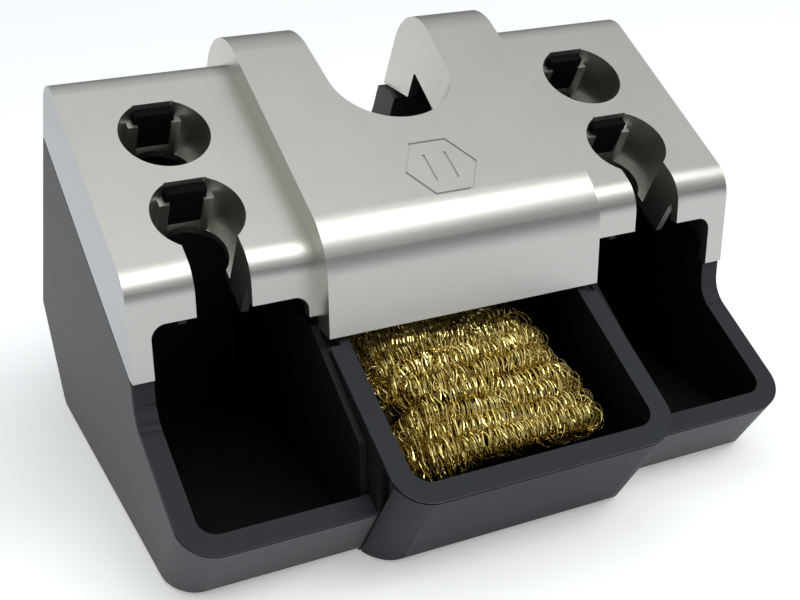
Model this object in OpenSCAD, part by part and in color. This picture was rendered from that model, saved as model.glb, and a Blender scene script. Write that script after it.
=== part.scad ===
/* [Overall] */
// Width over the housing
body_w = 160; // [140:1:192]
// Angle of the top deck above the table
deck_angle = 29.7; // [24:0.1:34]
// Length of the deck along its slope, between its sharp corners
deck_len = 68.3; // [62:0.1:82]
// Height of the deck's sharp front corner above the table
deck_front_h = 68.2; // [64:0.1:80]
// Lean of the rear wall from upright
rear_lean = 27.8; // [20:0.1:32]
// Height of the knee in the rear wall
knee_h = 26.2; // [20:0.1:32]
// How far the rear wall tucks in below the knee
rear_tuck = 16; // [8:0.5:20]
// Lean of the front faces from upright
front_lean = 34; // [20:0.5:38]

/* [Covers] */
// Thickness of the cover castings
cover_wall = 2.6; // [2:0.1:3.5]
// Radius of the wing covers' front and rear bends
bend_r = 9; // [6:0.5:12]
// Depth of the side skirts, square to the deck
skirt_depth = 21.5; // [18:0.1:26]
// Shadow gap between the covers and the housing
seam_gap = 0.6; // [0.3:0.1:1]
// Height of the opening under the wing skirts
notch_top = 58.1; // [54:0.1:62]
// Height of the wing legs' feet
leg_foot = 45; // [42:0.1:48]
// Width of the outer leg
leg_w = 5; // [4:0.1:8]
// Radius of the notch corners
notch_r = 3.5; // [1:0.1:6]

/* [Saddle] */
// Width of the raised saddle
saddle_w = 72; // [64:0.5:84]
// How far the saddle stands proud of the wings
saddle_proud = 6.8; // [4:0.1:9]
// Height of the saddle's front skirt edge
saddle_foot = 49.5; // [49:0.1:54]
// Radius of the round end of the rest cut
rest_r = 16.3; // [12:0.1:20]
// Extra half width of the rest cut at its open end
rest_flare = 0.9; // [0:0.1:2]
// Distance of the rest cut's round end from the deck's front corner
rest_s = 46.8; // [42:0.1:52]
// Depth of the collar around the rest cut
collar_depth = 15; // [10:0.1:20]
// Size of the engraved mark across its flats
mark_size = 17; // [10:0.5:22]
// Width of the engraved line
mark_line = 0.7; // [0.5:0.1:1.2]
// Depth of the engraved line
mark_depth = 0.35; // [0.2:0.05:0.8]

/* [Tip pockets] */
// Diameter of the pockets
pocket_d = 21.7; // [18:0.1:26]
// Distance of the pockets from the centre plane
pocket_x = 58; // [56:0.1:60]
// Distance of the front pockets from the deck's front corner
pocket_front_s = 17.3; // [16:0.1:19]
// Distance between the front and rear pockets
pocket_pitch = 25.4; // [25:0.1:31]
// Depth of the pockets down to their ledge
pocket_depth = 15.3; // [12:0.1:18]
// Width of the ledge at the bottom of the pockets
ledge_w = 2; // [1:0.1:3]
// Thickness of the pocket walls
pocket_wall = 1.8; // [1.2:0.1:2.4]
// Width of the front slots
slot_w = 13; // [10:0.1:15]

/* [Wiper pads] */
// Width of the rubber pads
pad_w = 9.8; // [8:0.1:11]
// Thickness of the pads
pad_t = 2.4; // [1.6:0.1:3]
// Height of the pads
pad_h = 10.6; // [8:0.1:12]
// Depth of the pads' top edge below the deck
pad_top = 1.6; // [1:0.1:3]
// Depth of the rail tops below the deck
rail_top = 4.1; // [3:0.1:6]
// Width of the lip that each rail has over the pad's edge
rail_lip = 0.8; // [0.5:0.1:1]

/* [Trays] */
// Width of the flat land around the trays
land_w = 5; // [4.6:0.1:6]
// Slope of the tray rims
rim_angle = 29.3; // [24:0.1:32]
// Height of the side rims' line, taken at the wing skirts
side_rim_h = 35.2; // [32:0.1:38]
// Reach of the side trays in front of the wing skirts
side_reach = 31.4; // [26:0.1:38]
// Height of the centre rim's line, taken at the wing skirts
wool_rim_h = 51.5; // [50:0.1:54]
// Reach of the centre tray in front of the wing skirts
wool_reach = 45.4; // [40:0.1:54]
// Plan radius of the trays' front corners
corner_r = 9; // [6:0.5:12]
// Radius of the bend between the side rims and the legs
rim_bend_r = 8; // [4:0.5:10]
// Level of the side tray floors
tray_floor = 8.2; // [7:0.1:12]
// Depth of the side trays behind the wing skirts
tray_back = 55.5; // [52:0.5:56]
// Depth of the centre tray behind the wing skirts
wool_back = 25; // [16:0.5:32]
// Thickness of the tray walls
tray_wall = 1.8; // [1.4:0.1:2]

/* [Housing] */
// Thickness of the housing walls
shell = 3; // [2.4:0.1:3.2]
// Radius of the bottom edges
foot_edge_r = 4; // [2:0.5:5]
// Height at which the raised rear apron under the saddle begins to slope back
apron_low = 60; // [56:0.5:64]
// Thickness of the dividers beside the centre tray
divider = 2.4; // [2:0.1:3]
// Thickness of the steel base plate
plate_t = 1.8; // [1.2:0.1:2]
// Radius of the rubber feet
foot_r = 6; // [4:0.5:8]
// Stand-off of the rubber feet below the base plate
foot_h = 1; // [0.8:0.1:1.5]

/* [Fasteners] */
// Shank diameter of the screws
screw_d = 3; // [2.5:0.1:3.5]
// Diameter of the cover screws' heads
head_d = 5.5; // [5:0.1:6]
// Outer diameter of the screw posts
post_d = 8.4; // [8.2:0.1:8.8]
// Height at which the cover bosses meet the posts
post_top = 62; // [58:0.5:66]
// Distance of the posts behind the wing skirts
post_y = 62; // [61.5:0.1:62.5]

/* [Hidden] */
$fn = 96;

nickel = [0.73, 0.74, 0.71];
anthracite = [0.27, 0.28, 0.31];
black = [0.05, 0.05, 0.06];
brass = [0.83, 0.66, 0.27];
zinc = [0.62, 0.64, 0.66];

// Small overshoot that keeps cuts clear of the faces they pass
eps = 0.5;
// Working gaps
slide_gap = 0.3;
fit_gap = 0.15;
screw_gap = 0.02;
// Rim flange: its thin edge, and the shadow line under it
flange_t = 0.7;
shadow = 0.5;
shadow_in = 0.8;

half_w = body_w/2;
saddle_half = saddle_w/2;
base_z = foot_h;
plate_top = base_z + plate_t;
web_top = plate_top + 2.2;
tan_deck = tan(deck_angle);
cos_deck = cos(deck_angle);
top_y = deck_len*cos_deck;
top_z = deck_front_h + deck_len*sin(deck_angle);
pocket_r = pocket_d/2;
pocket_s = [pocket_front_s, pocket_front_s + pocket_pitch];
chord = pocket_r - 0.9;
web_x = saddle_half - cover_wall;
divider_in = saddle_half - divider;

// Lines of the side view, in design coordinates: y runs back from the wing skirts
function deck_z(y) = deck_front_h + y*tan_deck;
function rear_y(z) = top_y + (top_z - z)*tan(rear_lean);
function seam_z(y) = deck_z(y) - skirt_depth/cos_deck;
function rim_z(h, y) = h + y*tan(rim_angle);
function front_y(reach, h, z) = -reach + (rim_z(h, -reach) - z)*tan(front_lean);
function knee_y() = rear_y(knee_h);

// Whole depth, which centres the model on its own box
y_front = -wool_reach;
y_mid = (y_front + knee_y())/2;

// The deck's cap, o outside the wing surface, has its bends at these corners
function cap_front(o) = [-o, deck_z(-o) + o/cos_deck];
function cap_rear_y(o) = (top_y + (top_z - deck_front_h - o/cos_deck)*tan(rear_lean)
    + o/cos(rear_lean))/(1 + tan_deck*tan(rear_lean));
function cap_rear(o) = [cap_rear_y(o), deck_z(cap_rear_y(o)) + o/cos_deck];
function cap_back_y(o, z) = rear_y(z) + o/cos(rear_lean);

function unit(v) = v/norm(v);
function half_angle(a, b, c) = acos(unit(a - b)*unit(c - b))/2;
function bend_centre(a, b, c, r) = b + unit(unit(a - b) + unit(c - b))*r/sin(half_angle(a, b, c));

// What a bend of radius r takes off the corner b between a and c
module bend(a, b, c, r, out = 0.05) {
    run = r/tan(half_angle(a, b, c));
    mid = bend_centre(a, b, c, r);
    difference() {
        polygon([b + (b - mid)*out, b + unit(a - b)*run, mid, b + unit(c - b)*run]);
        translate(mid) circle(r);
    }
}

// The side view is drawn in y and z and drawn out along x
module across(x0, x1) {
    translate([x0, 0, 0]) rotate([90, 0, 90]) linear_extrude(x1 - x0) children();
}

module place() { translate([0, -y_mid, 0]) children(); }
module on_deck() { translate([0, 0, deck_front_h]) rotate([deck_angle, 0, 0]) children(); }
module on_rim(h) { translate([0, 0, h]) rotate([rim_angle, 0, 0]) children(); }
module pair() { children(); mirror([1, 0, 0]) children(); }

// Filled side view of the deck's cap, o outside the wing surface, down to z_front and z_rear;
// its underside is level for a run behind its front and ahead of its rear
module cap(o, z_front, z_rear) {
    low_front = [-o, z_front];
    low_rear = [cap_back_y(o, z_rear), z_rear];
    level = [25, 0];
    difference() {
        polygon([low_front, cap_front(o), cap_rear(o), low_rear, low_rear - level, low_front + level]);
        bend(low_front, cap_front(o), cap_rear(o), max(bend_r + o, 1));
        bend(cap_front(o), cap_rear(o), low_rear, max(bend_r + o, 1));
    }
}

// Height where the seam line meets the rear wall
function seam_rear_y(drop) = (top_y + (top_z - deck_front_h + skirt_depth/cos_deck + drop)*tan(rear_lean))
    /(1 + tan_deck*tan(rear_lean));
seam_rear = seam_z(seam_rear_y(0));
// The saddle's rear skirt ends level with the wings'
saddle_rear_foot = seam_rear;

// ---------------------------------------------------------------- wing covers

module wing_outline() {
    intersection() {
        cap(0, 0, 0);
        polygon([[-eps, leg_foot], [(leg_foot - seam_z(0))/tan_deck, leg_foot],
            [seam_rear_y(0) + eps, seam_z(seam_rear_y(0) + eps)],
            [seam_rear_y(0) + eps, top_z + 20], [-eps, top_z + 20]]);
    }
}

// Front skirt opening, between the outer leg and the inner strip
module notch() {
    x0 = saddle_half + 2;
    x1 = half_w - leg_w;
    rotate([90, 0, 0]) translate([0, 0, -cover_wall - eps]) linear_extrude(cover_wall + 2*eps)
        difference() {
            translate([x0, 0]) square([x1 - x0, notch_top]);
            bend([x0, 0], [x0, notch_top], [x1, notch_top], notch_r);
            bend([x0, notch_top], [x1, notch_top], [x1, 0], notch_r);
        }
}

// Pocket bore seen along its axis: round, with a flat at the rear behind the pad,
// and a square seat that the pad's corners fit into
module pocket_bore() {
    seat = pad_w/2 + fit_gap;
    difference() {
        circle(pocket_r);
        translate([-pocket_r, chord]) square([2*pocket_r, pocket_r]);
    }
    translate([-seat, 0]) square([2*seat, chord]);
}

module pocket_solid() {
    translate([0, 0, -pocket_depth - ledge_w]) cylinder(h = pocket_depth + ledge_w, r = pocket_r + pocket_wall);
}

module pocket_cut() {
    translate([0, 0, -pocket_depth]) linear_extrude(pocket_depth + bend_r + eps) pocket_bore();
    translate([0, 0, -pocket_depth - ledge_w - eps])
        cylinder(h = pocket_depth, r = pocket_r - ledge_w);
}

// Rail beside the pad: a rib with a lip in front of the pad's edge and a step under it
module rail() {
    pad_edge = pad_w/2;
    lip_s = chord - pad_t - 2*screw_gap;
    rail_len = pocket_depth - rail_top;
    translate([pad_edge + fit_gap, lip_s - rail_lip, -pocket_depth])
        cube([1.5, chord - lip_s + rail_lip + eps, rail_len]);
    translate([pad_edge - rail_lip, lip_s - rail_lip, -pocket_depth])
        cube([rail_lip + fit_gap + eps, rail_lip, rail_len]);
    translate([pad_edge - rail_lip, lip_s - rail_lip, -pocket_depth])
        cube([rail_lip + fit_gap + eps, chord - lip_s + rail_lip + eps, pocket_depth - pad_top - pad_h]);
}

module slot_walls() {
    reach = pocket_front_s;
    for (side = [-1, 1])
        translate([side*(slot_w/2 + pocket_wall/2) - pocket_wall/2, -reach, -pocket_depth - ledge_w])
            cube([pocket_wall, 2*reach, pocket_depth + ledge_w]);
}

module slot_cut() {
    translate([-slot_w/2, -3*pocket_front_s, -60]) cube([slot_w, 3*pocket_front_s, 80]);
}

// Boss under a cover, cut to the inside of the cap that is o outside the wing surface
module cover_boss(x, o) {
    intersection() {
        translate([x, post_y, post_top]) cylinder(h = 80, d = post_d - 1);
        across(x - post_d, x + post_d) cap(o, 0, 0);
    }
}

module boss_bore(x) {
    translate([x, post_y, post_top - eps]) cylinder(h = 10 + eps, d = screw_d + 2*screw_gap);
}

wing_post_x = [saddle_half + 11, half_w - 10];
saddle_post_x = saddle_half - 6.4;

module wing_cover() {
    color(nickel) difference() {
        union() {
            difference() {
                across(web_x, half_w) wing_outline();
                across(web_x + cover_wall, half_w - cover_wall) cap(-cover_wall, -20, -20);
            }
            intersection() {
                translate([pocket_x, 0, 0]) on_deck() {
                    for (s = pocket_s) translate([0, s, 0]) pocket_solid();
                    translate([0, pocket_front_s, 0]) slot_walls();
                }
                across(web_x, half_w) cap(-cover_wall/2, 0, 0);
            }
            for (x = wing_post_x) cover_boss(x, -cover_wall/2);
        }
        notch();
        translate([pocket_x, 0, 0]) on_deck() {
            for (s = pocket_s) translate([0, s, 0]) pocket_cut();
            translate([0, pocket_front_s, 0]) slot_cut();
        }
        for (x = wing_post_x) boss_bore(x);
        // clear of the centre tray and its dividers
        translate([web_x - eps, -eps, 0])
            cube([saddle_half + 2 - web_x + eps, cover_wall + 2*eps, wool_rim_h + 1.2]);
        translate([web_x - eps, cover_wall, 0])
            cube([cover_wall + 2*eps, tray_back, wool_rim_h + 1.2]);
    }
    color(nickel) translate([pocket_x, 0, 0]) on_deck()
        for (s = pocket_s) translate([0, s, 0]) for (side = [0, 1]) mirror([side, 0, 0]) rail();
}

// ---------------------------------------------------------------- saddle cover

// Rest cut seen square to the deck: a round end and two sides that flare to the open end
module rest_shape(grow) {
    far = deck_len;
    translate([0, rest_s]) {
        circle(rest_r + grow);
        polygon([[-rest_r - grow, 0], [rest_r + grow, 0],
            [rest_r + rest_flare*far/16 + grow, far], [-rest_r - rest_flare*far/16 - grow, far]]);
    }
}

module rest_prism(grow) {
    on_deck() translate([0, 0, -60]) linear_extrude(60 + 2*bend_r + saddle_proud) rest_shape(grow);
}

// Plain six-sided mark with a bar, engraved as a line
module mark() {
    line = mark_line;
    difference() {
        circle(d = mark_size/cos(30), $fn = 6);
        circle(d = mark_size/cos(30) - 2*line, $fn = 6);
    }
    for (side = [-1, 1]) translate([side*mark_size/6 - line/2, -mark_size/4]) square([line, mark_size/2]);
}

module saddle_cover() {
    color(nickel) difference() {
        union() {
            difference() {
                across(-saddle_half, saddle_half) cap(saddle_proud, saddle_foot, saddle_rear_foot);
                across(-web_x, web_x) cap(saddle_proud - cover_wall, -20, -20);
                across(-saddle_half - eps, saddle_half + eps) cap(0, -20, -20);
            }
            intersection() {
                difference() {
                    across(-rest_r*2, rest_r*2) cap(saddle_proud - cover_wall/2, saddle_foot, saddle_rear_foot);
                    across(-rest_r*2 - eps, rest_r*2 + eps) cap(saddle_proud - collar_depth, -20, -20);
                }
                difference() {
                    rest_prism(cover_wall);
                    across(-saddle_half, saddle_half) polygon([[-20, -20], [cover_wall, -20],
                        [cover_wall, deck_z(0)], [-20, deck_z(0)]]);
                }
            }
            pair() cover_boss(saddle_post_x, saddle_proud - cover_wall/2);
        }
        rest_prism(0);
        pair() boss_bore(saddle_post_x);
        on_deck() translate([0, mark_s, saddle_proud - mark_depth]) linear_extrude(mark_depth + eps) mark();
    }
}
mark_s = rest_s - rest_r - 17;

// ---------------------------------------------------------------- wiper pads

module wiper(side, row) {
    color(black) place() translate([side*pocket_x, 0, 0]) on_deck()
        translate([-pad_w/2, pocket_s[row] + chord - pad_t - screw_gap, -pad_top - pad_h])
            cube([pad_w, pad_t, pad_h]);
}

// ---------------------------------------------------------------- trays

// Side view of the housing's side, with the rim line and the riser set in by d;
// lead moves its front face forward
module side_outline(d, top_gap, lead = 0) {
    front_low = [front_y(side_reach, side_rim_h, base_z) - lead, base_z];
    rim_low = side_rim_h - d/cos(rim_angle);
    drop = d/cos(rim_angle)/(1 + tan(rim_angle)*tan(front_lean));
    rim_front_y = -side_reach + drop*tan(front_lean) - lead;
    front_rim = [rim_front_y, rim_z(rim_low, rim_front_y)];
    riser_y = 1 + d;
    inner = [riser_y, rim_z(rim_low, riser_y)];
    riser_top = leg_foot - top_gap;
    step_y = (riser_top - seam_z(0) + seam_gap)/tan_deck;
    rear_low = [knee_y() - rear_tuck, base_z];
    difference() {
        union() {
            polygon([front_low, front_rim, inner, [riser_y, riser_top], [max(step_y, riser_y), riser_top],
                [seam_rear_y(seam_gap), seam_z(seam_rear_y(seam_gap)) - seam_gap],
                [knee_y(), knee_h], rear_low]);
            bend(front_rim, inner, [riser_y, riser_top], rim_bend_r + d, 0.1);
        }
        bend(front_rim, front_low, rear_low, foot_edge_r);
        bend(front_low, rear_low, [knee_y(), knee_h], foot_edge_r);
    }
}

// Rounds the upright front corner at x, along a leaning front face that is set back by run
module front_corner(x, reach, h, r, run = 0) {
    translate([x, run - reach, rim_z(h, -reach)]) rotate([front_lean, 0, 0]) rotate([180, 0, 0])
        translate([0, 0, -10]) linear_extrude(100) difference() {
            translate([-r, -r]) square([r + eps, r + eps]);
            translate([-r, -r]) circle(r);
        }
}

// Opening of a side tray, seen square to its rim, with a round outer front corner
module tray_opening(x0, x1, reach, h, r) {
    front_s = -reach/cos(rim_angle) + land_w;
    back_s = 90;
    on_rim(h) translate([0, 0, -3]) linear_extrude(40) difference() {
        translate([x0, front_s]) square([x1 - x0, back_s]);
        bend([x0, front_s], [x1, front_s], [x1, back_s], r);
    }
}

// Level distance between a front face and the inside behind it, which leaves the land's width on the rim
land_run = land_w*cos(front_lean - rim_angle)/cos(front_lean);

// Inside of a tray: the front wall leans like the housing's front face
module tray_hollow(x0, x1, reach, h, floor_z, back, top) {
    across(x0, x1) polygon([
        [front_y(reach, h, floor_z) + land_run, floor_z],
        [front_y(reach, h, top) + land_run, top], [back, top], [back, floor_z]]);
}

inner_r = corner_r/2;

// Side view of the flange that lies on the housing's rim
module flange_outline() {
    flange_back = 2.4;
    difference() {
        side_outline(0, seam_gap);
        side_outline(flange_t, -20, 2);
        translate([flange_back, 0]) square([2*body_w, 2*top_z]);
    }
}

// Front of the side trays' cups, a gap behind the inside of the housing's front wall
function cup_front(z) = front_y(side_reach, side_rim_h, z) + shell/cos(front_lean) + slide_gap;

module catch_tray() {
    x0 = saddle_half + fit_gap;
    x1 = half_w - shell - fit_gap;
    land_x = half_w - land_w;
    wall_front = -side_reach + shell/cos(front_lean) + 1.5;
    cup_back_y = cover_wall + 2*fit_gap;
    color(anthracite) union() {
        // thin flange over the housing wall
        difference() {
            across(x0, half_w) flange_outline();
            tray_opening(x0 - eps, land_x, side_reach, side_rim_h, inner_r);
            front_corner(half_w, side_reach, side_rim_h, corner_r);
        }
        // cup
        difference() {
            intersection() {
                across(x0, x1) union() {
                    side_outline(flange_t/2, seam_gap);
                    polygon([[cup_back_y, tray_floor], [cup_back_y, seam_z(cover_wall) + 3],
                        [tray_back, seam_z(tray_back) + 3], [tray_back, tray_floor]]);
                }
                across(x0, x1) polygon([
                    [cup_front(tray_floor - tray_wall), tray_floor - tray_wall],
                    [cup_front(side_rim_h), side_rim_h],
                    [cup_front(side_rim_h), top_z],
                    [tray_back + tray_wall, top_z], [tray_back + tray_wall, tray_floor - tray_wall]]);
            }
            tray_hollow(x0 + tray_wall, land_x, side_reach, side_rim_h, tray_floor, tray_back, top_z);
        }
        // inner wall up to the centre tray's rim
        across(x0, x0 + tray_wall) polygon([
            [cup_front(tray_floor), tray_floor], [wall_front, rim_z(side_rim_h, -side_reach)],
            [wall_front, rim_z(wool_rim_h, -side_reach) - 1],
            [0, wool_rim_h - 1], [tray_back, wool_rim_h - 1], [tray_back, tray_floor]]);
    }
}

// Side view of the centre tray, with its rim line set in by d
wool_flat_z = saddle_foot - slide_gap - 0.2;
module wool_outline(d, z_low) {
    rim_h = wool_rim_h - d/cos(rim_angle);
    front_rim = [front_y(wool_reach, wool_rim_h, rim_z(rim_h, -wool_reach)), rim_z(rim_h, -wool_reach)];
    front_low = [front_y(wool_reach, wool_rim_h, z_low), z_low];
    flat_y = (wool_flat_z - wool_rim_h)/tan(rim_angle);
    difference() {
        polygon([front_low, front_rim, [flat_y, wool_flat_z - d], [wool_back, wool_flat_z - d], [wool_back, z_low]]);
        bend(front_rim, front_low, [wool_back, z_low], foot_edge_r);
    }
}

// Shadow line cut into the sides and front of the centre tray, just under its rim
module shadow_line() {
    front_s = -wool_reach/cos(rim_angle);
    back_s = -saddle_proud/cos(rim_angle);
    x1 = saddle_half - shadow_in;
    s1 = front_s + shadow_in;
    r1 = corner_r - shadow_in;
    on_rim(wool_rim_h) translate([0, 0, -flange_t - shadow]) linear_extrude(shadow) difference() {
        translate([-saddle_half - eps, front_s - 3]) square([saddle_w + 2*eps, back_s - front_s + 3]);
        difference() {
            translate([-x1, s1]) square([2*x1, back_s - s1 + eps]);
            bend([-x1, back_s], [-x1, s1], [x1, s1], r1);
            bend([-x1, s1], [x1, s1], [x1, back_s], r1);
        }
    }
}

// Underside of the centre tray's flange, and where it meets the line just ahead of the side fronts
flange_low = wool_rim_h - (flange_t + shadow)/cos(rim_angle);
block_line = front_y(side_reach, side_rim_h, 0) - slide_gap/cos(front_lean);
function block_y(z) = block_line - z*tan(front_lean);
flange_root = (block_line - flange_low*tan(front_lean))/(1 + tan(rim_angle)*tan(front_lean));
flange_end = -saddle_proud - fit_gap;

runner_h = 1.2;
runner_w = 6;
runner_x = 24;
magnet_r = 4;
magnet_t = 2;
magnet_z = 25;
wool_low = plate_top + runner_h + 0.05;

module wool_tray() {
    inner_x = saddle_half - land_w;
    body_x = divider_in - slide_gap;
    color(anthracite) difference() {
        across(-saddle_half, saddle_half) wool_outline(0, base_z);
        // narrower behind the side fronts, where only the flange reaches over the dividers
        pair() across(body_x, saddle_half + eps) polygon([
            [block_y(-5), -5], [flange_root, rim_z(flange_low, flange_root)],
            [flange_end, rim_z(flange_low, flange_end)], [flange_end, 200], [200, 200], [200, -5]]);
        // raised underside, which runs on the strips
        across(-saddle_half - eps, saddle_half + eps) polygon([
            [block_y(-5), -5], [block_y(wool_low), wool_low], [200, wool_low], [200, -5]]);
        shadow_line();
        difference() {
            tray_hollow(-inner_x, inner_x, wool_reach, wool_rim_h, tray_floor, wool_back - 4, top_z);
            pair() front_corner(inner_x, wool_reach, wool_rim_h, inner_r, land_run);
        }
        pair() front_corner(saddle_half, wool_reach, wool_rim_h, corner_r);
        translate([0, wool_back + eps, magnet_z]) rotate([90, 0, 0])
            cylinder(h = magnet_t + eps, r = magnet_r + fit_gap);
    }
}

module tray_magnet() {
    color(zinc) translate([0, wool_back, magnet_z]) rotate([90, 0, 0]) cylinder(h = magnet_t, r = magnet_r);
}

module tray_keeper() {
    color(zinc) translate([0, wool_back + slide_gap + magnet_t, magnet_z]) rotate([90, 0, 0])
        cylinder(h = magnet_t, r = magnet_r + 1);
}

module tray_runner() {
    color(black) translate([runner_x - runner_w/2, -8, plate_top]) cube([runner_w, wool_back + 8, runner_h]);
}

// Soft brass wool: a plain pad the size of the coiled one
module brass_wool() {
    wool_gap = inner_r/3;
    x0 = -saddle_half + land_w + wool_gap;
    x1 = saddle_half - land_w - 7;
    lie = 2;
    shoulder = rim_z(wool_rim_h, -wool_reach) - 3;
    front_in = land_run + wool_gap;
    color(brass) across(x0, x1) polygon([
        [front_y(wool_reach, wool_rim_h, tray_floor) + front_in, tray_floor],
        [front_y(wool_reach, wool_rim_h, shoulder) + front_in, shoulder],
        [-wool_reach + land_w + 8, rim_z(wool_rim_h, -wool_reach + 8) - lie],
        [-saddle_proud - 4, rim_z(wool_rim_h, -saddle_proud - 4) - lie],
        [wool_back - 8, rim_z(wool_rim_h, -saddle_proud - 4) - lie], [wool_back - 5, tray_floor]]);
}

// ---------------------------------------------------------------- housing

// Hollow between the housing walls, open above and below
module bay(x0, x1, front_wall) {
    front_in = front_wall/cos(front_lean);
    rear_in = shell/cos(rear_lean);
    low_front = front_y(side_reach, side_rim_h, -20) + front_in;
    high_front = front_y(side_reach, side_rim_h, 130) + front_in;
    tuck_slope = rear_tuck/(knee_h - base_z);
    across(x0, x1) polygon([
        [low_front, -20], [high_front, 130], [rear_y(130) - rear_in, 130],
        [knee_y() - rear_in, knee_h], [knee_y() - rear_in - tuck_slope*(knee_h + 20), -20]]);
}

// Raised rear apron, which carries the saddle's rear face on downwards
module apron() {
    top = seam_rear - seam_gap;
    root = 0.4;
    across(-saddle_half, saddle_half) polygon([
        [rear_y(top) - root, top], [cap_back_y(saddle_proud, top), top],
        [cap_back_y(saddle_proud, apron_low), apron_low],
        [rear_y(apron_low - saddle_proud), apron_low - saddle_proud],
        [rear_y(apron_low - saddle_proud) - root, apron_low - saddle_proud]]);
}

module post(x) {
    translate([x, post_y, plate_top]) cylinder(h = post_top - plate_top - fit_gap, d = post_d);
}

module post_bore(x) {
    seat_z = post_top - 7;
    translate([x, post_y, 0]) cylinder(h = seat_z, d = head_d + 0.6);
    translate([x, post_y, 0]) cylinder(h = post_top + eps, d = screw_d + 0.4);
}

base_screw_at = [[half_w - 14, 14], [half_w - 14, 45], [saddle_half + 8, 70]];
plate_front = front_y(side_reach, side_rim_h, base_z) + 5;
plate_back = knee_y() - rear_tuck - 5;
plate_half = half_w - shell - 1;
// Depth of the middle of the throat's round bottom below the deck
throat_drop = 34;

module base_housing() {
    wall_rim = flange_t + shadow;
    color(anthracite) difference() {
        union() {
            difference() {
                across(-half_w, half_w) side_outline(wall_rim, seam_gap);
                pair() bay(saddle_half, half_w - shell, shell);
                bay(-divider_in, divider_in, -60);
                across(-saddle_half - eps, saddle_half + eps) difference() {
                    polygon([[-100, -20], [-100, 200], [200, 200], [200, -20]]);
                    polygon([[-100, -20], [200, -20], [200, 200], [seam_rear_y(0), 200],
                        [seam_rear_y(0) - 6, wool_rim_h], [0, wool_rim_h],
                        [-saddle_proud - cover_wall, wool_rim_h - (saddle_proud + cover_wall)*tan(rim_angle)
                            - (flange_t + shadow + slide_gap)/cos(rim_angle)],
                        [-100, wool_rim_h - 100*tan(rim_angle) - (flange_t + shadow + slide_gap)/cos(rim_angle)]]);
                }
            }
            // dividers rise to the centre tray's rim
            pair() across(divider_in, saddle_half) intersection() {
                polygon([[front_y(side_reach, side_rim_h, base_z), base_z],
                    [-side_reach, rim_z(side_rim_h, -side_reach)],
                    [-side_reach, rim_z(wool_rim_h, -side_reach) - 1.6],
                    [-saddle_proud - 1, rim_z(wool_rim_h, -saddle_proud - 1) - 1.6],
                    [slide_gap, saddle_foot - seam_gap], [slide_gap, wool_rim_h],
                    [seam_rear_y(0) - 6, wool_rim_h], [seam_rear_y(0) - 6, base_z]]);
                polygon([[-100, base_z], [200, base_z], [200, 200], [-100, 200]]);
            }
            // floor webs that the base plate is screwed to
            pair() intersection() {
                translate([saddle_half - eps, plate_front - 2, plate_top])
                    cube([half_w - saddle_half - shell + 2*eps, plate_back - plate_front + 4, web_top - plate_top]);
                across(0, half_w) side_outline(wall_rim, seam_gap);
            }
            apron();
            // stop wall behind the centre tray
            translate([-divider_in - eps, wool_back + slide_gap, plate_top])
                cube([2*divider_in + 2*eps, shell, wool_rim_h - plate_top - 8]);
            pair() {
                for (x = wing_post_x) post(x);
                post(saddle_post_x);
            }
        }
        pair() {
            for (x = wing_post_x) post_bore(x);
            post_bore(saddle_post_x);
            for (at = base_screw_at) translate([at[0], at[1], 0])
                cylinder(h = web_top + 1, d = screw_d + 2*screw_gap);
            front_corner(half_w, side_reach, side_rim_h, corner_r);
        }
        translate([0, wool_back + slide_gap - eps, magnet_z]) rotate([-90, 0, 0])
            cylinder(h = magnet_t + eps, r = magnet_r + 1 + fit_gap);
        // open throat under the rest cut
        on_deck() translate([0, 0, -throat_drop]) rotate([-90, 0, 0]) cylinder(h = 120, r = rest_r);
        on_deck() translate([-rest_r, 0, -throat_drop]) cube([2*rest_r, 120, 80]);
        // room for the base plate
        translate([-plate_half - fit_gap, plate_front - fit_gap, -eps])
            cube([2*(plate_half + fit_gap), plate_back - plate_front + 2*fit_gap, plate_top + eps]);
    }
}

module base_plate() {
    color(zinc) difference() {
        translate([-plate_half, plate_front, base_z])
            cube([2*plate_half, plate_back - plate_front, plate_t]);
        pair() {
            for (at = base_screw_at) translate([at[0], at[1], base_z - eps]) {
                cylinder(h = plate_t + 2*eps, d = screw_d + 0.4);
                cylinder(h = 1 + eps, d = head_d + 0.4);
            }
            for (at = foot_at) translate([at[0], at[1], 0]) cylinder(h = plate_top + eps, d = foot_stem);
        }
    }
}

foot_stem = 4;
foot_at = [[half_w - 14, plate_front + foot_r + 2], [half_w - 14, plate_back - foot_r - 2]];

module foot(side, row) {
    color(black) place() translate([side*foot_at[row][0], foot_at[row][1], 0]) {
        cylinder(h = foot_h, r = foot_r);
        cylinder(h = plate_top - fit_gap, d = foot_stem - 2*screw_gap);
    }
}

// ---------------------------------------------------------------- screws

module base_screws() {
    color(zinc) pair() for (at = base_screw_at) translate([at[0], at[1], base_z]) {
        cylinder(h = 1, d = head_d);
        cylinder(h = web_top - base_z, d = screw_d);
    }
}

module cover_screws() {
    seat_z = post_top - 7;
    head_h = 2.5;
    color(zinc) pair() for (x = concat(wing_post_x, [saddle_post_x])) translate([x, post_y, seat_z]) {
        translate([0, 0, -head_h]) cylinder(h = head_h, d = head_d);
        translate([0, 0, -1]) cylinder(h = 15, d = screw_d);
    }
}

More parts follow.
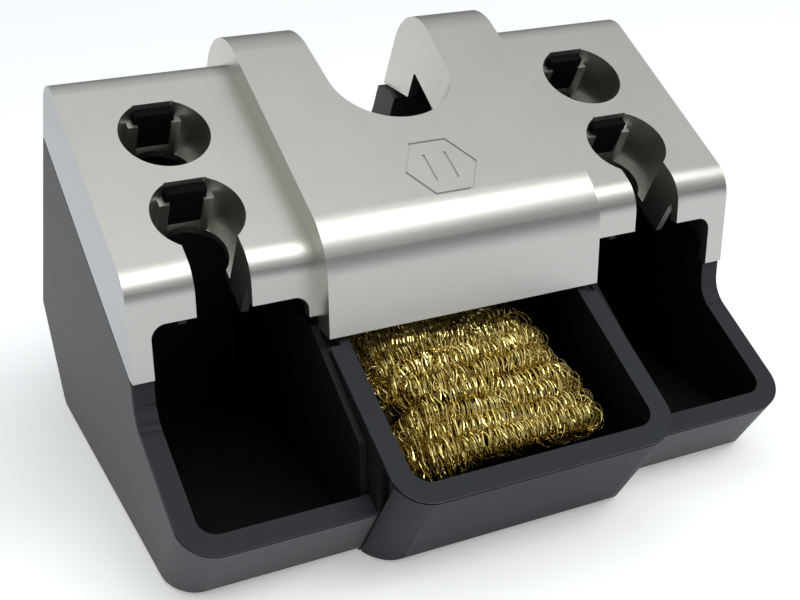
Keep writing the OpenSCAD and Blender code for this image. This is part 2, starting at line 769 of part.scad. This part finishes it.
place() base_housing();
place() base_plate();
place() base_screws();
foot(-1, 0);  // foot_front_left
foot(1, 0);  // foot_front_right
foot(-1, 1);  // foot_rear_left
foot(1, 1);  // foot_rear_right
place() mirror([1, 0, 0]) catch_tray();  // left_catch_tray
place() catch_tray();  // right_catch_tray
place() mirror([1, 0, 0]) wing_cover();  // left_wing_cover
place() wing_cover();  // right_wing_cover
place() saddle_cover();
place() cover_screws();
wiper(-1, 0);  // left_front_wiper
wiper(-1, 1);  // left_rear_wiper
wiper(1, 0);  // right_front_wiper
wiper(1, 1);  // right_rear_wiper
place() wool_tray();
place() brass_wool();
place() mirror([1, 0, 0]) tray_runner();  // left_tray_runner
place() tray_runner();  // right_tray_runner
place() tray_magnet();
place() tray_keeper();
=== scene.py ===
import math
import random

import bpy
import bmesh
from mathutils import Matrix, Vector, noise


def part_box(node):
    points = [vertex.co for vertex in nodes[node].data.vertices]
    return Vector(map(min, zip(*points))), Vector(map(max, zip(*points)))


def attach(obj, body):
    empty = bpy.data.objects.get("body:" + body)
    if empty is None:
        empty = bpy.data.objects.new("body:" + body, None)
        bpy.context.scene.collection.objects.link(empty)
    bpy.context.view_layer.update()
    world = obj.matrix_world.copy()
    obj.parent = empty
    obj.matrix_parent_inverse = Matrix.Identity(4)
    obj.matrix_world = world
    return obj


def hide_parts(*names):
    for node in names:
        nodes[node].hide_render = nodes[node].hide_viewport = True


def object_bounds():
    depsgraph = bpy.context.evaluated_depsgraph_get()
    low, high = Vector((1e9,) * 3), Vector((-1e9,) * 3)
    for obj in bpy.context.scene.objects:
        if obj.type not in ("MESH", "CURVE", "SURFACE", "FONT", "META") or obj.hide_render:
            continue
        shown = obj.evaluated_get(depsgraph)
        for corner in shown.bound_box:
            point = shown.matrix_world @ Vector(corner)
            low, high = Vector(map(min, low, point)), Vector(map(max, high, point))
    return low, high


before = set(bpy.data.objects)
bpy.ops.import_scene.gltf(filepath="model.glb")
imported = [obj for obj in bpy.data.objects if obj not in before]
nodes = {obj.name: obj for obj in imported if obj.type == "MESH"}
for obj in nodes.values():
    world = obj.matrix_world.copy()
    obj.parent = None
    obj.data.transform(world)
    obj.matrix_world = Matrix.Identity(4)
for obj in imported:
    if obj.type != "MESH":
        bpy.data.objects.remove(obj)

MM = 0.001
CAMERA_PLACE = (-0.1402, -0.2841, 0.1784)
CAMERA_YAW = math.radians(25.96)
CAMERA_PITCH = math.radians(23.78)
CAMERA_ROLL = math.radians(0.43)
FOCAL_LENGTH = 59.7  # in millimetres, as the sensor's width
SENSOR_WIDTH = 36
FLOOR_HALF = 4.0
LAMP_DISTANCE = 1.4

cad_low, cad_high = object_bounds()


# ---------------------------------------------------------------- camera, floor and light

def make_camera():
    """A long lens that looks down on the stand from its left front."""
    lens = bpy.data.cameras.new("camera")
    lens.lens = FOCAL_LENGTH
    lens.sensor_width = SENSOR_WIDTH
    camera = bpy.data.objects.new("camera", lens)
    camera.matrix_world = (Matrix.Translation(CAMERA_PLACE)
                           @ Matrix.Rotation(-CAMERA_YAW, 4, "Z")
                           @ Matrix.Rotation(math.pi / 2 - CAMERA_PITCH, 4, "X")
                           @ Matrix.Rotation(-CAMERA_ROLL, 4, "Z"))
    bpy.context.scene.collection.objects.link(camera)
    bpy.context.scene.camera = camera


def make_floor(finish):
    """A wide plain floor."""
    corners = [(x * FLOOR_HALF, y * FLOOR_HALF, 0) for x, y in ((-1, -1), (1, -1), (1, 1), (-1, 1))]
    mesh = bpy.data.meshes.new("floor")
    mesh.from_pydata(corners, [], [(0, 1, 2, 3)])
    floor = bpy.data.objects.new("floor", mesh)
    floor.location.z = cad_low.z
    floor.data.materials.append(finish)
    bpy.context.scene.collection.objects.link(floor)


def softbox(name, azimuth, elevation, size, power, colour=(1, 1, 1)):
    """An area light that faces the stand; azimuth 0 is the front, and positive is to the right."""
    middle = (cad_low + cad_high) / 2
    around, up = math.radians(azimuth), math.radians(elevation)
    way = Vector((math.sin(around) * math.cos(up), -math.cos(around) * math.cos(up), math.sin(up)))
    lamp = bpy.data.lights.new(name, "AREA")
    lamp.shape = "RECTANGLE"
    lamp.size, lamp.size_y = size
    lamp.energy = power
    lamp.color = colour
    box = bpy.data.objects.new(name, lamp)
    box.location = middle + way * LAMP_DISTANCE
    box.rotation_euler = way.to_track_quat("Z", "Y").to_euler()
    bpy.context.scene.collection.objects.link(box)


def make_air():
    """A pale studio: darker at the level of the stand, and brighter overhead."""
    world = bpy.data.worlds.new("studio")
    world.use_nodes = True
    bpy.context.scene.world = world
    air = Nodes(world.node_tree)
    sky = air.node("ShaderNodeTexCoord")
    height = air.node("ShaderNodeSeparateXYZ", {}, {"Vector": sky}, "Z")
    glow = air.node("ShaderNodeMapRange", {"interpolation_type": "SMOOTHSTEP"},
                    {"Value": height, "From Min": 0.12, "From Max": 0.80,
                     "To Min": 0.15, "To Max": 0.62})
    background = air.tree.nodes["Background"]
    air.feed(background.inputs["Color"], tone(0.92, 0.97, 1.0))
    air.feed(background.inputs["Strength"], glow)


def make_light():
    bpy.context.scene.view_settings.view_transform = "Standard"
    make_air()
    softbox("front_right", 26, 56, (1.1, 0.40), 7.6, (0.98, 0.99, 1.0))
    softbox("overhead", 0, 84, (0.9, 0.9), 1.5)
    softbox("left_fill", -80, 25, (0.7, 0.7), 0.6, (0.93, 0.96, 1.0))


# ---------------------------------------------------------------- finishes

class Value:
    """A socket that Python's operators work on."""

    def __init__(self, finish, socket):
        self.finish = finish
        self.socket = socket

    def math(self, operation, first, second):
        return self.finish.node("ShaderNodeMath", {"operation": operation}, {0: first, 1: second})

    def __add__(self, other):
        return self.math("ADD", self, other)

    def __rsub__(self, other):
        return self.math("SUBTRACT", other, self)

    def __mul__(self, other):
        return self.math("MULTIPLY", self, other)

    def __gt__(self, other):
        return self.math("GREATER_THAN", self, other)

    def __lt__(self, other):
        return self.math("LESS_THAN", self, other)

    __radd__ = __add__


class Nodes:
    """A node tree under construction."""

    def __init__(self, tree):
        self.tree = tree

    def node(self, kind, settings=None, values=None, output=0):
        """Adds a node: its settings first, then the values or links of its sockets."""
        made = self.tree.nodes.new(kind)
        for name, setting in (settings or {}).items():
            if name == "stops":
                for stop, (place, grey) in zip(made.color_ramp.elements, setting):
                    stop.position, stop.color = place, tone(grey, grey, grey)
            else:
                setattr(made, name, setting)
        for name, value in (values or {}).items():
            self.feed(made.inputs[name], value)
        return Value(self, made.outputs[output])

    def feed(self, socket, value):
        if isinstance(value, Value):
            self.tree.links.new(value.socket, socket)
        else:
            socket.default_value = value


class Finish(Nodes):
    """A material under construction."""

    def __init__(self, name):
        self.material = bpy.data.materials.new(name)
        self.material.use_nodes = True
        super().__init__(self.material.node_tree)
        self.shader = self.tree.nodes["Principled BSDF"]

    def set(self, **values):
        """Sets the shader's sockets; an underscore in a name stands for a space."""
        for name, value in values.items():
            self.feed(self.shader.inputs[name.replace("_", " ")], value)

    def place(self):
        return self.node("ShaderNodeTexCoord", output="Object")

    def along(self, axis):
        """The place along X, Y or Z, in metres."""
        return self.node("ShaderNodeSeparateXYZ", {}, {"Vector": self.place()}, axis)

    def off_centre(self):
        """The distance from the plane that parts the stand's left from its right."""
        return self.node("ShaderNodeMath", {"operation": "ABSOLUTE"}, {0: self.along("X")})

    def either(self, first, second):
        return self.node("ShaderNodeMath", {"operation": "MAXIMUM"}, {0: first, 1: second})

    def facing(self, direction):
        """How far the surface faces a direction, from -1 to 1."""
        normal = self.node("ShaderNodeNewGeometry", output="True Normal")
        return self.node("ShaderNodeVectorMath", {"operation": "DOT_PRODUCT"},
                         {0: normal, 1: direction}, "Value")

    def grain(self, size, detail=2.0):
        """Noise from 0 to 1 whose grains are about size across, in metres."""
        return self.node("ShaderNodeTexNoise", {},
                         {"Vector": self.place(), "Scale": 1 / size, "Detail": detail})

    def mix(self, share, first, second):
        return self.node("ShaderNodeMix", {"data_type": "RGBA"}, {0: share, 6: first, 7: second}, 2)

    def bump(self, height, depth):
        """Feeds the shader's normal with a relief of that depth, in metres."""
        self.set(Normal=self.node("ShaderNodeBump", {},
                                  {"Height": height, "Distance": depth, "Strength": 1.0}))

    def ramp(self, value, *stops):
        return self.node("ShaderNodeValToRGB", {"stops": stops}, {"Fac": value})


def tone(red, green, blue):
    return (red, green, blue, 1)


RIM_ANGLE = math.radians(29.3)  # how far the trays' rims fall towards the front
RIM_NORMAL = (0, -math.sin(RIM_ANGLE), math.cos(RIM_ANGLE))
# Painted shade: a near-black for walls and hollows that lie in shade.
PAINTED_SHADE_BLACK = tone(0.0035, 0.0035, 0.004)


def blasted_nickel():
    """Nickel plate over a bead-blasted casting: satin, with a fine sparkling grain.
    Painted shade makes it a little darker on the front faces and on the outer left side."""
    finish = Finish("blasted_nickel")
    beads = finish.grain(0.30 * MM, 2.0)
    sparkle = finish.grain(0.16 * MM, 1.0)
    cloud = finish.grain(14 * MM)
    colour = finish.mix(cloud, tone(0.60, 0.585, 0.525), tone(0.64, 0.625, 0.58))
    # Painted shade: darker tones on the front faces and on the outer left side.
    painted_shade_front = finish.facing((0, -1, 0)) > 0.93
    outer = finish.along("X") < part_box("left_wing_cover")[0].x + 2 * MM
    painted_shade_left_side = (finish.facing((-1, 0, 0)) > 0.93) * outer
    colour = finish.mix(painted_shade_front, colour, tone(0.50, 0.495, 0.47))
    colour = finish.mix(painted_shade_left_side, colour, tone(0.41, 0.425, 0.43))
    finish.set(Base_Color=colour, Metallic=1.0, Roughness=0.25 + beads * 0.18 + cloud * 0.03)
    finish.bump(beads * 0.5 + sparkle, 0.020 * MM)
    return finish.material


def powder_coat():
    """Anthracite coat with a fine orange-peel grain; painted shade makes it black where it faces
    the trays.
    """
    finish = Finish("anthracite_coat")
    peel = finish.grain(0.5 * MM, 3.0)
    cloud = finish.grain(18 * MM)
    speck = finish.ramp(finish.grain(0.45 * MM, 1.0), (0.52, 0.0), (0.72, 1.0))
    colour = finish.mix(cloud, tone(0.037, 0.0385, 0.044), tone(0.045, 0.047, 0.053))
    colour = finish.mix(speck * 0.3, colour, tone(0.11, 0.11, 0.115))
    # Painted shade: the walls between the trays, under the saddle, are coloured black.
    between = finish.off_centre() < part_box("saddle_cover")[1].x + 0.1 * MM
    painted_shade_divider = between * (finish.along("Y") < 20 * MM)
    finish.set(Base_Color=finish.mix(painted_shade_divider, colour, PAINTED_SHADE_BLACK), Roughness=0.46 + peel * 0.18,
               Specular_IOR_Level=0.42)
    finish.bump(peel, 0.024 * MM)
    return finish.material


def catch_tray_finish():
    """Side trays: a smooth anthracite land; painted shade makes the rest dead black."""
    finish = Finish("catch_tray")
    tray_low, tray_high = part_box("right_catch_tray")
    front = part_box("left_wing_cover")[0].y + 1.5 * MM
    land = finish.facing(RIM_NORMAL) > 0.80
    riser = finish.facing((0, -1, 0)) > 0.15
    edge = finish.off_centre() > tray_high.x - 0.3 * MM
    ahead = finish.along("Y") < front
    beside = finish.off_centre() > tray_low.x + 2.2 * MM
    # Painted shade: only the land, the front riser and the outer edge, ahead of the covers and away
    # from the centre tray, keep the anthracite; the rest is coloured black.
    shown = finish.either(finish.either(land, riser), edge) * ahead
    front_edge = finish.along("Y") < tray_low.y + 4.7 * MM
    shown = shown * finish.either(beside, front_edge)
    # Painted shade: the tray's floor is coloured black as well.
    floor = finish.along("Z") < tray_low.z + 3.5 * MM
    grain = finish.grain(0.6 * MM, 3.0)
    colour = finish.mix(shown * (1 - floor), PAINTED_SHADE_BLACK, tone(0.023, 0.0245, 0.029))
    finish.set(Base_Color=colour, Roughness=0.52 + grain * 0.14, Specular_IOR_Level=0.22)
    finish.bump(grain, 0.010 * MM)
    return finish.material


def wool_tray_finish():
    """Centre tray: an anthracite front and land; painted shade makes the walls and floor of its
    hollow dead black.
    """
    finish = Finish("wool_tray")
    across = finish.along("X")
    left = (finish.facing((1, 0, 0)) > 0.5) * (across < 0)
    right = (finish.facing((-1, 0, 0)) > 0.5) * (across > 0)
    back = finish.facing((0, 1, 0)) > 0.25
    floor = finish.facing((0, 0, 1)) > 0.97
    # Painted shade: the inner walls, back and floor of the tray are coloured black.
    painted_shade_inside = finish.node("ShaderNodeClamp", {}, {"Value": left + right + back + floor})
    grain = finish.grain(0.5 * MM, 3.0)
    cloud = finish.grain(18 * MM)
    outer = finish.mix(cloud, tone(0.021, 0.023, 0.028), tone(0.026, 0.028, 0.034))
    finish.set(Base_Color=finish.mix(painted_shade_inside, outer, PAINTED_SHADE_BLACK), Roughness=0.50 + grain * 0.16,
               Specular_IOR_Level=0.22)
    finish.bump(grain, 0.014 * MM)
    return finish.material


def silicone():
    """Matte black rubber with a faint drawn texture."""
    finish = Finish("wiper_silicone")
    dust = finish.grain(0.7 * MM, 4.0)
    finish.set(Base_Color=finish.mix(dust, tone(0.003, 0.003, 0.0035), tone(0.006, 0.006, 0.007)),
               Roughness=0.7 + dust * 0.2, Specular_IOR_Level=0.08)
    finish.bump(dust, 0.02 * MM)
    return finish.material


def zinc_steel():
    finish = Finish("zinc_steel")
    streak = finish.grain(1.2 * MM, 4.0)
    finish.set(Base_Color=finish.mix(streak, tone(0.50, 0.52, 0.54), tone(0.63, 0.64, 0.65)),
               Metallic=1.0, Roughness=0.30 + streak * 0.2)
    finish.bump(streak, 0.01 * MM)
    return finish.material


def curled_brass(name, bright, dull):
    """Drawn flat brass wire, duller in places where it is tarnished."""
    finish = Finish(name)
    stain = finish.grain(5 * MM, 2.0)
    draw = finish.grain(0.3 * MM, 2.0)
    finish.set(Base_Color=finish.mix(finish.ramp(stain, (0.38, 0.0), (0.66, 1.0)), bright, dull),
               Metallic=1.0, Roughness=0.13 + draw * 0.12)
    return finish.material


def pale_floor():
    finish = Finish("pale_floor")
    finish.set(Base_Color=tone(0.93, 0.93, 0.93), Roughness=0.9, Emission_Color=tone(1, 1, 1),
               Emission_Strength=0.33)
    return finish.material


# ---------------------------------------------------------------- CAD nodes

def soften(name, width, segments=3):
    """Breaks a CAD node's sharp edges, with no change to its own mesh."""
    weld = nodes[name].modifiers.new("weld", "WELD")
    weld.merge_threshold = 0.002 * MM
    bevel = nodes[name].modifiers.new("edges", "BEVEL")
    bevel.width = width
    bevel.segments = segments
    bevel.limit_method = "ANGLE"
    bevel.angle_limit = math.radians(32)
    bevel.use_clamp_overlap = True
    bevel.miter_outer = "MITER_ARC"
    shading = nodes[name].modifiers.new("shading", "WEIGHTED_NORMAL")
    shading.keep_sharp = False
    shading.weight = 60


def dress(names, finish):
    for name in names:
        slots = nodes[name].data.materials
        slots.clear()
        slots.append(finish)


# ---------------------------------------------------------------- brass wool

COIL_R = 2.75 * MM
COIL_PITCH = 0.66 * MM
WIRE_W = 0.23 * MM
WIRE_T = 0.06 * MM
STEPS = 14  # points in one turn of the coil
ROWS = 11
ROW_PITCH = 4.7 * MM
ROW_STEPS = 26
DIVE_STEPS = 5
HOLLOW_ROWS = (3, 4)  # these start further in, which leaves a dark hollow at the left
HOLLOW = 6 * MM
SKIRT_GAP = 4 * MM  # the wool's slope ends this far in front of the saddle's skirt


def dive(x, side, reach, rising):
    """The quarter turn with which a row comes up out of the wool, or goes down into it.
    Each point is its place across and its depth."""
    angles = [math.pi / 2 * step / DIVE_STEPS for step in range(DIVE_STEPS + 1)]
    if rising:
        angles.reverse()
    return [(x + side * reach * (1 - math.sin(angle)), reach * (1 - math.cos(angle)))
            for angle in angles]


def wool_line(seed, depth, stray):
    """Middle line of the folded wool: rows that run from side to side and dive at both ends.
    depth is how far the line lies below the top of the wool, and stray how unevenly it lies."""
    dice = random.Random(seed)
    low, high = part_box("brass_wool")
    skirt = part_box("saddle_cover")[0].y - SKIRT_GAP
    slope = Vector((0, math.cos(RIM_ANGLE), math.sin(RIM_ANGLE)))
    normal = Vector(RIM_NORMAL)
    top = Vector((0, skirt, high.z))
    first = top - slope * ((skirt - low.y) / math.cos(RIM_ANGLE) - COIL_R - 0.8 * MM)
    points = []
    for row in range(ROWS):
        run = first + slope * (row * ROW_PITCH)
        if run.y > skirt:
            run = Vector((0, run.y, top.z + 1 * MM))
        looseness = stray * (1 + row / ROWS)
        middle = run - normal * (COIL_R + depth + dice.uniform(0, 1.3) * MM * min(row, 1))
        hollow = HOLLOW if row in HOLLOW_ROWS else 0
        left = low.x + COIL_R + dice.uniform(-1.0, 2.0) * MM + hollow
        right = high.x - COIL_R - dice.uniform(0, 3.0) * MM - max(0, row - 3) * 1.0 * MM
        askew = dice.uniform(-0.05, 0.05) * looseness
        left_dive, right_dive = dice.uniform(7, 12) * MM, dice.uniform(3.2, 4.6) * MM
        span = right - right_dive - left - left_dive
        crown = [(left + left_dive + span * step / ROW_STEPS, 0) for step in range(1, ROW_STEPS)]
        path = dive(left, 1, left_dive, True) + crown + dive(right, -1, right_dive, False)
        if row % 2:
            path.reverse()
        for x, drop in path:
            sway = noise.noise(Vector((x * 80, row * 3.1, seed))) * 1.5 * MM * looseness + x * askew
            heave = noise.noise(Vector((x * 110, row * 5.7, seed + 9))) * 1.1 * MM * looseness
            points.append(Vector((x, middle.y, middle.z)) + slope * sway + normal * (heave - drop))
    return points


def even_steps(points, spacing):
    """Points at even spacing along a line, each with its direction."""
    found = []
    carried = 0.0
    for start, end in zip(points, points[1:]):
        run = end - start
        place = carried
        while place < run.length:
            found.append((start + run * (place / run.length), run.normalized()))
            place += spacing
        carried = place - run.length
    return found


def coil(points, seed, radius, pitch, wild):
    """A helix of flat wire round a line; wild is how unevenly its turns lie."""
    dice = random.Random(seed)
    phase = dice.uniform(0, math.tau)
    spots = []
    for number, (middle, along) in enumerate(even_steps(points, pitch / STEPS)):
        angle = phase + number * math.tau / STEPS
        turn = number / STEPS
        side = along.cross(Vector((0.13, 0.2, 1))).normalized()
        up = side.cross(along)
        swell = 1 + wild * 0.55 * noise.noise(Vector((turn * 0.8, seed * 7.3, 1)))
        lean = wild * 2.2 * MM * noise.noise(Vector((turn * 0.45, seed * 3.7, 5)))
        tilt = noise.noise(Vector((turn * 0.3, seed, 8))) * math.tau
        out = side * math.cos(angle) + up * math.sin(angle)
        spots.append(middle + out * radius * swell + along * lean * math.cos(angle - tilt))
    return spots


def ribbon(name, spots, width, thickness):
    """A closed flat wire through the spots."""
    verts, faces = [], []
    for number, spot in enumerate(spots):
        ahead = spots[min(number + 1, len(spots) - 1)]
        behind = spots[max(number - 1, 0)]
        further = spots[min(number + STEPS, len(spots) - 1)]
        before = spots[max(number - STEPS, 0)]
        run = (ahead - behind).normalized()
        axis = further - before
        wide = (axis - run * axis.dot(run)).normalized() * (width / 2)
        flat = run.cross(wide).normalized() * (thickness / 2)
        verts += [spot + wide + flat, spot - wide + flat, spot - wide - flat, spot + wide - flat]
        if number:
            new, old = 4 * number, 4 * number - 4
            for edge in range(4):
                nxt = (edge + 1) % 4
                faces.append((old + edge, old + nxt, new + nxt, new + edge))
    faces += [(0, 3, 2, 1), tuple(range(len(verts) - 4, len(verts)))]
    mesh = bpy.data.meshes.new(name)
    mesh.from_pydata(verts, [], faces)
    mesh.validate()
    piece = bpy.data.objects.new(name, mesh)
    bpy.context.scene.collection.objects.link(piece)
    return piece


def wool_core():
    """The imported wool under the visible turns: a lumpy closed mass that leans with the tray."""
    low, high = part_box("brass_wool")
    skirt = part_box("saddle_cover")[0].y - SKIRT_GAP
    form = bmesh.new()
    across, along = 44, 40
    front, rear = low.y + 7 * MM, high.y - 1 * MM
    lean = 12 * MM  # how much further back its foot starts
    grid = {}
    for i in range(across + 1):
        x = low.x + 2 * MM + (high.x - low.x - 5 * MM) * i / across
        for j in range(along + 1):
            y = front + (rear - front) * j / along
            brink = max(0, 1 - (x - low.x) / (16 * MM))
            top = high.z - max(0, skirt - y) * math.tan(RIM_ANGLE) - 7.0 * MM - brink * 8 * MM
            lump = noise.noise(Vector((x * 330, y * 330, 2))) * 1.4 * MM
            grid[i, j, 1] = form.verts.new((x, y, top + lump))
            grid[i, j, 0] = form.verts.new((x, y + lean * (1 - j / along), low.z + 0.3 * MM))

    def patch(*corners):
        form.faces.new([grid[corner] for corner in corners])

    for i in range(across):
        for j in range(along):
            patch((i, j, 1), (i + 1, j, 1), (i + 1, j + 1, 1), (i, j + 1, 1))
            patch((i, j, 0), (i, j + 1, 0), (i + 1, j + 1, 0), (i + 1, j, 0))
    for i in range(across):
        for j in (0, along):
            patch((i, j, 0), (i + 1, j, 0), (i + 1, j, 1), (i, j, 1))
    for j in range(along):
        for i in (0, across):
            patch((i, j, 0), (i, j + 1, 0), (i, j + 1, 1), (i, j, 1))
    bmesh.ops.recalc_face_normals(form, faces=form.faces)
    mesh = bpy.data.meshes.new("brass_wool_core")
    form.to_mesh(mesh)
    form.free()
    mesh.shade_smooth()
    piece = bpy.data.objects.new("brass_wool_core", mesh)
    bpy.context.scene.collection.objects.link(piece)
    return piece


def make_wool():
    bright = curled_brass("bright_brass", tone(0.95, 0.80, 0.32), tone(0.66, 0.50, 0.14))
    # Painted shade: a near-black copy of the brass for the core, standing for the shade deep among
    # the turns.
    dark = curled_brass("painted_shade_brass", tone(0.035, 0.024, 0.006), tone(0.012, 0.008, 0.003))
    layers = [  # name, seed, depth, stray, radius, pitch, wild
        ("wool_strand_upper", 3, 0.0 * MM, 1.0, COIL_R, COIL_PITCH, 0.9),
        ("wool_strand_loose", 4, 1.2 * MM, 1.7, COIL_R * 0.95, COIL_PITCH * 1.3, 2.0),
        ("wool_strand_lower", 5, 3.8 * MM, 1.2, COIL_R, COIL_PITCH * 1.2, 1.4)]
    pieces = []
    for name, seed, depth, stray, radius, pitch, wild in layers:
        line = wool_line(seed, depth, stray)
        piece = ribbon(name, coil(line, seed, radius, pitch, wild), WIRE_W, WIRE_T)
        piece.data.materials.append(bright)
        pieces.append(piece)
    core = wool_core()
    core.data.materials.append(dark)
    for piece in pieces + [core]:
        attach(piece, "wool_drawer")
        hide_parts("brass_wool")


# ---------------------------------------------------------------- the stand

make_camera()
make_floor(pale_floor())
make_light()

covers = ["left_wing_cover", "right_wing_cover", "saddle_cover"]
wipers = [f"{side}_{row}_wiper" for side in ("left", "right") for row in ("front", "rear")]
feet = [f"foot_{row}_{side}" for side in ("left", "right") for row in ("front", "rear")]

dress(covers, blasted_nickel())
dress(["base_housing"], powder_coat())
dress(["left_catch_tray", "right_catch_tray"], catch_tray_finish())
dress(["wool_tray"], wool_tray_finish())
dress(wipers + feet + ["left_tray_runner", "right_tray_runner"], silicone())
dress(["base_plate", "base_screws", "cover_screws", "tray_keeper", "tray_magnet"], zinc_steel())

for name in covers:
    soften(name, 0.35 * MM)
for name in ("base_housing", "left_catch_tray", "right_catch_tray", "wool_tray"):
    soften(name, 0.22 * MM, 2)
for name in wipers:
    soften(name, 0.25 * MM, 2)

make_wool()
